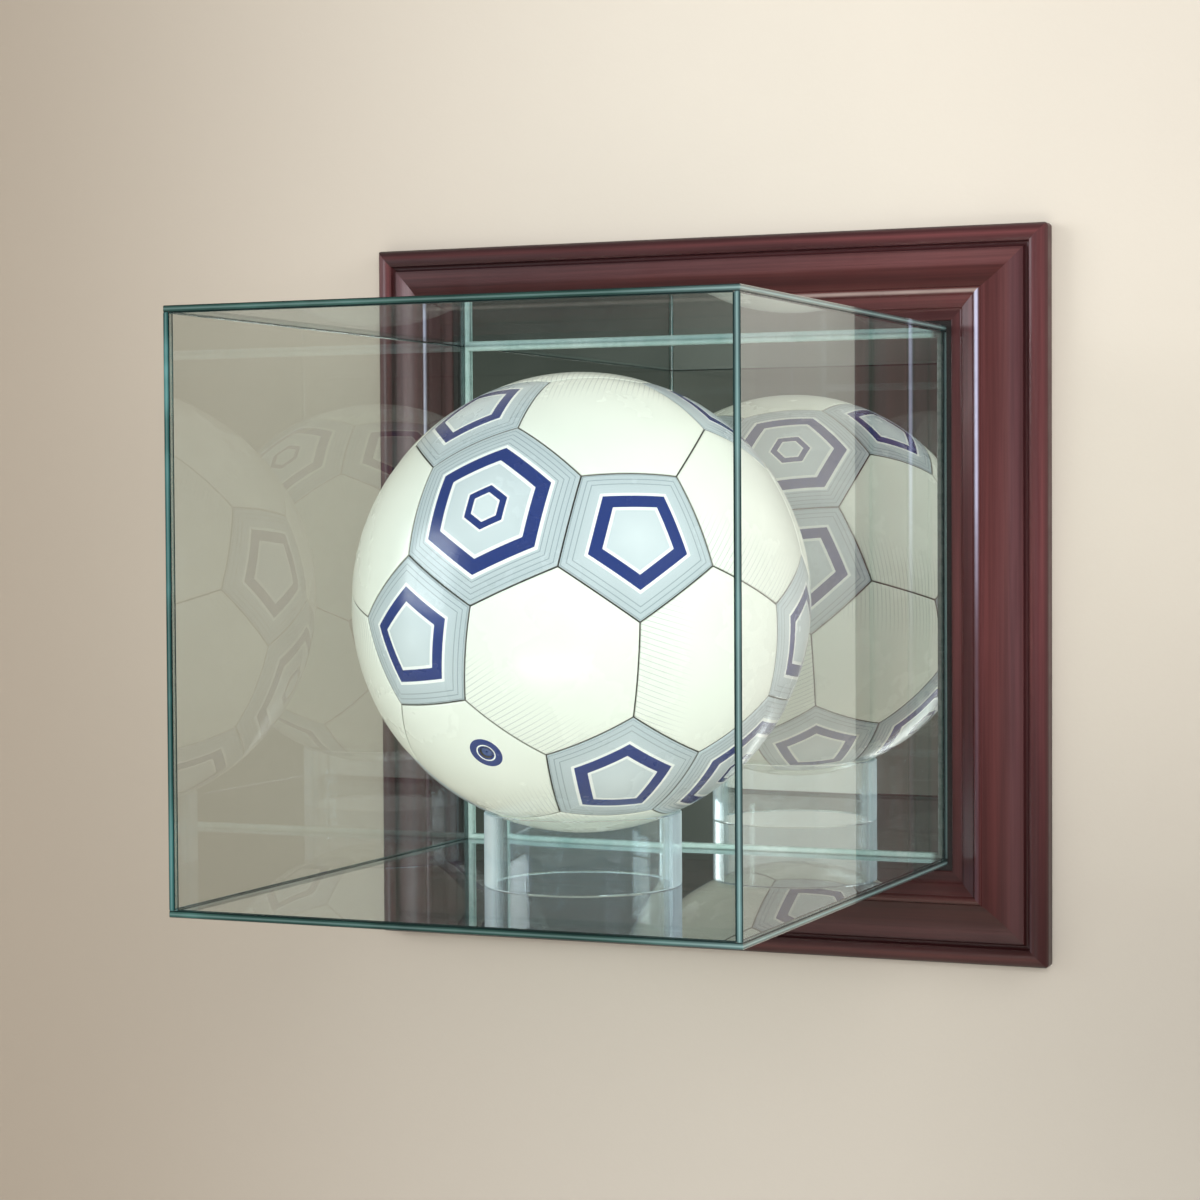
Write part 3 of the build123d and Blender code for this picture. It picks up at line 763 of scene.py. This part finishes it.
def panelPlace(tree):
    place = put(tree, "ShaderNodeUVMap", uv_map="panelMap").outputs[0]
    scaled = put(tree, "ShaderNodeVectorMath", {0: place, "Scale": 100.0}, operation="SCALE").outputs[0]
    parts = put(tree, "ShaderNodeSeparateXYZ", {0: scaled})
    return parts.outputs[0], parts.outputs[1]


def hatchLines(tree, along, share):
    wave = calc(tree, "FRACT", calc(tree, "DIVIDE", along, skin["hatchPitch"]))
    return calc(tree, "LESS_THAN", wave, share)


def layBands(tree, colour, value, bands, paint):
    for middle, halfWidth in bands:
        colour = blendColour(tree, between(tree, value, middle, halfWidth), colour, paint)
    return colour


def linedWhite(tree, u, v):
    cloud = noise(tree, objectPlace(tree), 14.0, 3.0)
    colour = ramp(tree, cloud, [(0.3, skin["whiteShade"]), (0.7, skin["white"])])
    alongU = calc(tree, "MULTIPLY", u, skin["hatchSlant"][0])
    alongV = calc(tree, "MULTIPLY", v, skin["hatchSlant"][1])
    slant = calc(tree, "ADD", alongU, alongV)
    where = spread(tree, u, *skin["hatchReach"], skin["hatchShare"], 0.0)
    lines = calc(tree, "MULTIPLY", hatchLines(tree, slant, skin["fineLine"]), where)
    return blendColour(tree, lines, colour, skin["hatch"])


plain, tree = startMaterial("pearlPanel")
u, v = panelPlace(tree)
finishSkin(tree, linedWhite(tree, u, v))


def ringedPanel(name, sides, rings, keylines, reach):
    material, tree = startMaterial(name)
    u, v = panelPlace(tree)
    radius = distance(tree, u, v)
    half = math.pi / sides
    angle = calc(tree, "ADD", calc(tree, "ARCTAN2", v, u), half)
    angle = calc(tree, "SUBTRACT", calc(tree, "FLOORED_MODULO", angle, 2 * half), half)
    level = calc(tree, "MULTIPLY", radius, calc(tree, "COSINE", angle))  # distance toward the nearest seam
    colour = blendColour(tree, spread(tree, level, 0.0, reach), skin["silverLight"], skin["silver"])
    outside = calc(tree, "GREATER_THAN", level, reach * skin["pipingShare"])
    lines = calc(tree, "MULTIPLY", hatchLines(tree, level, skin["pipingLine"]), outside)
    lines = calc(tree, "MULTIPLY", lines, skin["pipingStrength"])
    colour = blendColour(tree, lines, colour, skin["hatch"])
    colour = layBands(tree, colour, level, keylines, skin["keyline"])
    colour = layBands(tree, colour, level, rings, skin["navy"])
    finishSkin(tree, colour)
    return material


ringedHexagon = ringedPanel(
    "ringedHexagon", 6, skin["hexagonRings"], skin["hexagonKeylines"], skin["hexagonReach"]
)
ringedPentagon = ringedPanel(
    "ringedPentagon", 5, skin["pentagonRings"], skin["pentagonKeylines"], skin["pentagonReach"]
)

valve, tree = startMaterial("valvePanel")
panel = panels[valvePanel]
spot = toward * (ball["radius"] / toward.dot(directions[valvePanel]))
spotX, spotY = spot.dot(panel["across"]) * 1000, spot.dot(panel["up"]) * 1000
u, v = panelPlace(tree)
du = calc(tree, "SUBTRACT", u, spotX)
dv = calc(tree, "SUBTRACT", v, spotY)
away = distance(tree, du, dv)
colour = linedWhite(tree, u, v)
colour = blendColour(tree, calc(tree, "LESS_THAN", away, skin["valveDisc"]), colour, skin["navy"])
colour = blendColour(tree, between(tree, away, *skin["valveLine"]), colour, skin["keyline"])
finishSkin(tree, colour)

for material in (plain, ringedHexagon, valve):
    hexagonPanels.data.materials.append(material)
pentagonPanels.data.materials.append(ringedPentagon)
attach(hexagonPanels, "ball")
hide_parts("ball_hexagon_panels")
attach(pentagonPanels, "ball")
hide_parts("ball_pentagon_panels")

material, tree = startMaterial("bladderRubber")
fuzz = noise(tree, objectPlace(tree), 500.0, 3.0)
shader = put(
    tree,
    "ShaderNodeBsdfPrincipled",
    {
        "Base Color": ramp(tree, fuzz, [(0.3, tone(22, 20, 19)), (0.7, tone(38, 36, 34))]),
        "Roughness": 0.75,
        "Normal": bump(tree, fuzz, 0.2, 0.0003),
    },
)
surface(tree, shader.outputs[0])
finish(material, "ball_bladder")

material, tree = startMaterial("valveRubber")
fuzz = noise(tree, objectPlace(tree), 900.0, 3.0)
shader = put(
    tree,
    "ShaderNodeBsdfPrincipled",
    {
        "Base Color": ramp(tree, fuzz, [(0.3, tone(64, 84, 136)), (0.7, tone(92, 112, 160))]),
        "Roughness": spread(tree, fuzz, 0.3, 0.7, 0.35, 0.55),
        "Normal": bump(tree, fuzz, 0.2, 0.0002),
    },
)
surface(tree, shader.outputs[0])
finish(material, "ball_valve")

print("room")
room = {
    "wallHalf": 3.0,
    "holeHalf": 0.1882,
    "wallBack": 0.0004,
    "floorHeight": -1.1,
    "floorHalf": 4.0,
    "leftToRight": (-0.52, 0.04),
    "lowToHigh": (-0.42, -0.12),
    "paintedShadeFarRight": (0.10, 0.36, 1.0, 0.84),
    "windowAcross": (-0.80, 0.14),
    "windowUp": (0.05, 0.35),
    "daylight": (0.75, 0.92, 1.25, 1),
    "seenTone": tone(226, 219, 207),
    "overheadTone": tone(104, 104, 100),
    "overheadFrom": (0.25, 0.8),
    "leftTone": tone(156, 144, 129),
    "lowTone": tone(184, 177, 166),
    "highTone": tone(213, 205, 192),
    "ambient": 0.6,
}
wallShape = bmesh.new()
bmesh.ops.create_grid(wallShape, x_segments=1, y_segments=1, size=room["wallHalf"])
bmesh.ops.inset_individual(
    wallShape, faces=wallShape.faces[:], thickness=room["wallHalf"] - room["holeHalf"], use_even_offset=True
)
hole = [f for f in wallShape.faces if f.calc_center_median().length < 0.01]
bmesh.ops.delete(wallShape, geom=hole, context="FACES")
bmesh.ops.transform(
    wallShape,
    matrix=Matrix.Translation((0, room["wallBack"], caseMiddle)) @ Matrix.Rotation(math.pi / 2, 4, "X"),
    verts=wallShape.verts[:],
)
wall = pieceFrom(wallShape, "wall")

floorShape = bmesh.new()
bmesh.ops.create_grid(floorShape, x_segments=1, y_segments=1, size=room["floorHalf"])
bmesh.ops.translate(floorShape, vec=(0, 0, room["floorHeight"]), verts=floorShape.verts[:])
floor = pieceFrom(floorShape, "floor")

material, tree = startMaterial("wallPaint")
place = objectPlace(tree)
parts = put(tree, "ShaderNodeSeparateXYZ", {0: place})
# painted light and shade on the wall: darker to the left and low down, and darker again at the far right
paintedShadingRightward = spread(tree, parts.outputs[0], *room["leftToRight"], smooth=True)
toTop = spread(tree, parts.outputs[2], *room["lowToHigh"], smooth=True)
rightTone = blendColour(tree, toTop, room["lowTone"], room["highTone"])
colour = blendColour(tree, paintedShadingRightward, room["leftTone"], rightTone)
farRightPaintedShade = spread(tree, parts.outputs[0], *room["paintedShadeFarRight"])
colour = blendColour(tree, 1.0, colour, farRightPaintedShade, "MULTIPLY")
roller = noise(tree, place, 420.0, 3.0)
shader = put(
    tree,
    "ShaderNodeBsdfPrincipled",
    {"Base Color": colour, "Roughness": 0.85, "Normal": bump(tree, roller, 0.12, 0.0004)},
)
# the wall is clear to a camera behind it, so the back of the frame can be looked at
geometry = put(tree, "ShaderNodeNewGeometry")
path = put(tree, "ShaderNodeLightPath")
behind = calc(tree, "MULTIPLY", geometry.outputs["Backfacing"], path.outputs["Is Camera Ray"])
clear = put(tree, "ShaderNodeBsdfTransparent")
shader = put(tree, "ShaderNodeMixShader", {0: behind, 1: shader.outputs[0], 2: clear.outputs[0]})
surface(tree, shader.outputs[0])
wall.data.materials.append(material)

material, tree = startMaterial("floorPaint")
place = objectPlace(tree)
speck = noise(tree, place, 40.0, 3.0)
colour = ramp(tree, speck, [(0.3, tone(214, 208, 198)), (0.7, tone(224, 218, 208))])
shader = put(tree, "ShaderNodeBsdfPrincipled", {"Base Color": colour, "Roughness": 0.8})
surface(tree, shader.outputs[0])
floor.data.materials.append(material)

world = bpy.data.worlds.new("room")
bpy.context.scene.world = world
world.use_nodes = True
tree = world.node_tree
tree.nodes.clear()
direction = put(tree, "ShaderNodeTexCoord").outputs["Generated"]
parts = put(tree, "ShaderNodeSeparateXYZ", {0: direction})
blotch = noise(tree, direction, 3.2, 4.0, 0.6, 0.5)
darkRoom = ramp(
    tree, blotch, [(0.3, tone(50, 54, 50)), (0.55, tone(76, 80, 74)), (0.75, tone(116, 118, 110))]
)
overhead = spread(tree, parts.outputs[2], *room["overheadFrom"], smooth=True)
darkRoom = blendColour(tree, overhead, darkRoom, room["overheadTone"])
path = put(tree, "ShaderNodeLightPath")
seen = calc(tree, "MAXIMUM", path.outputs["Is Camera Ray"], path.outputs["Is Transmission Ray"])
lit = (room["ambient"], room["ambient"], room["ambient"], 1)
window = calc(tree, "COMPARE", parts.outputs[0], *room["windowAcross"])
window = calc(tree, "MULTIPLY", window, calc(tree, "COMPARE", parts.outputs[2], *room["windowUp"]))
window = calc(tree, "MULTIPLY", window, calc(tree, "LESS_THAN", parts.outputs[1], 0.0))
darkRoom = blendColour(tree, window, darkRoom, room["daylight"])  # lights the polished crest
firstGloss = calc(tree, "LESS_THAN", path.outputs["Diffuse Depth"], 0.5)
firstGloss = calc(tree, "MULTIPLY", path.outputs["Is Glossy Ray"], firstGloss)
colour = blendColour(tree, firstGloss, lit, darkRoom)
colour = blendColour(tree, seen, colour, room["seenTone"])
background = put(tree, "ShaderNodeBackground", {"Color": colour, "Strength": 1.0})
put(tree, "ShaderNodeOutputWorld", {"Surface": background.outputs[0]})


def lamp(name, place, target, size, power, colour=(1, 1, 1), mirrored=True):
    data = bpy.data.lights.new(name, "AREA")
    data.size = size
    data.energy = power
    data.color = colour
    piece = bpy.data.objects.new(name, data)
    piece.location = place
    aim = Vector(target) - Vector(place)
    piece.rotation_euler = aim.to_track_quat("-Z", "Y").to_euler()
    piece.visible_camera = False
    piece.visible_glossy = mirrored
    piece.visible_transmission = mirrored
    bpy.context.scene.collection.objects.link(piece)


lamp("softLamp", (-2.0, -1.35, 0.35), (0, -0.1, -0.15), 1.2, 27, (0.97, 0.99, 1.0))
lamp("frontLamp", (0.5, -1.35, 0.05), (0, -0.16, -0.16), 0.5, 8.9, mirrored=False)
lamp("lowLamp", (0.2, -1.4, -1.25), (0, -0.1, -0.2), 1.0, 13)
lamp("sideLamp", (1.5, -0.32, 0.45), (0, -0.16, -0.16), 0.8, 14.5, mirrored=False)
lamp("rearLamp", (0.8, 1.7, 0.5), (0, 0, -0.17), 0.9, 16)

print("finished")
